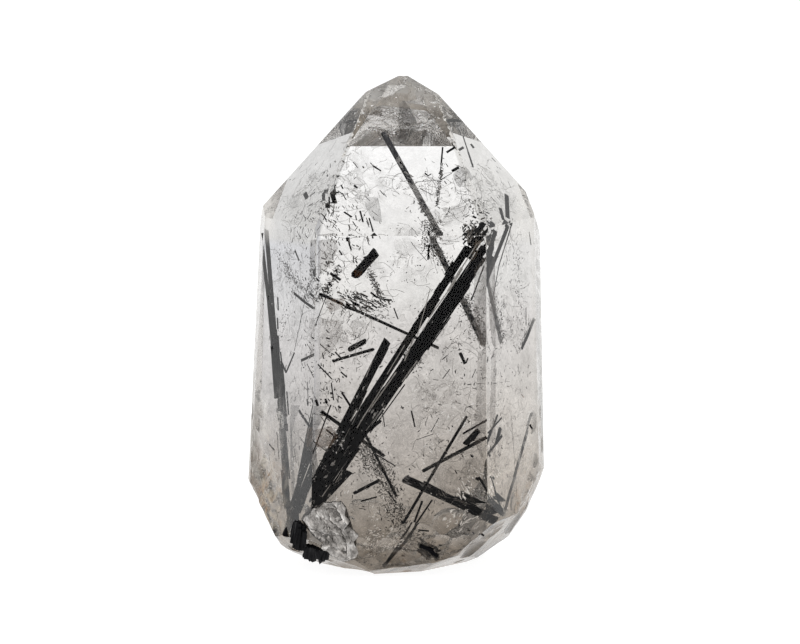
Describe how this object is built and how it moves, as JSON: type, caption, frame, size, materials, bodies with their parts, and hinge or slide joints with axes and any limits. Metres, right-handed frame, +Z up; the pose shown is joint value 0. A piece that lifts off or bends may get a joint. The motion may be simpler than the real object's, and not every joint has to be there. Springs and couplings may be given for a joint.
{
  "type": "tourmalinated quartz crystal",
  "caption": "Free-standing clear quartz point with black tourmaline rods grown through it, resting upright on its broken base.",
  "frame": {"origin": "centre of the bounding box on the flat break that the crystal stands on", "axes": "+Z up along the crystal's long axis to the point, -Y towards the viewer of the wide front face, +X to the viewer's right"},
  "size_m": [0.0482, 0.0406, 0.0782],
  "materials": {
    "quartz": "clear natural crystal faces, rough where the base is broken",
    "tourmaline": "black, striated, half gloss",
    "flakes": "pale grey-white flaky crust, rough with small bright breaks"
  },
  "bodies": {
    "root": {"quartz_front": "quartz", "quartz_back": "quartz", "tourmaline_spray": "tourmaline", "tourmaline_upper_rod": "tourmaline", "tourmaline_lower_rod": "tourmaline", "tourmaline_right_rod": "tourmaline", "tourmaline_upper_stub": "tourmaline", "tourmaline_middle_stub": "tourmaline", "tourmaline_right_stub": "tourmaline", "tourmaline_crossing_needle": "tourmaline", "tourmaline_long_needle": "tourmaline", "tourmaline_high_needle": "tourmaline", "tourmaline_left_needle": "tourmaline", "tourmaline_steep_needle": "tourmaline", "tourmaline_base_needle": "tourmaline", "tourmaline_level_needle": "tourmaline", "flake_crust": "flakes"}
  },
  "joints": []
}
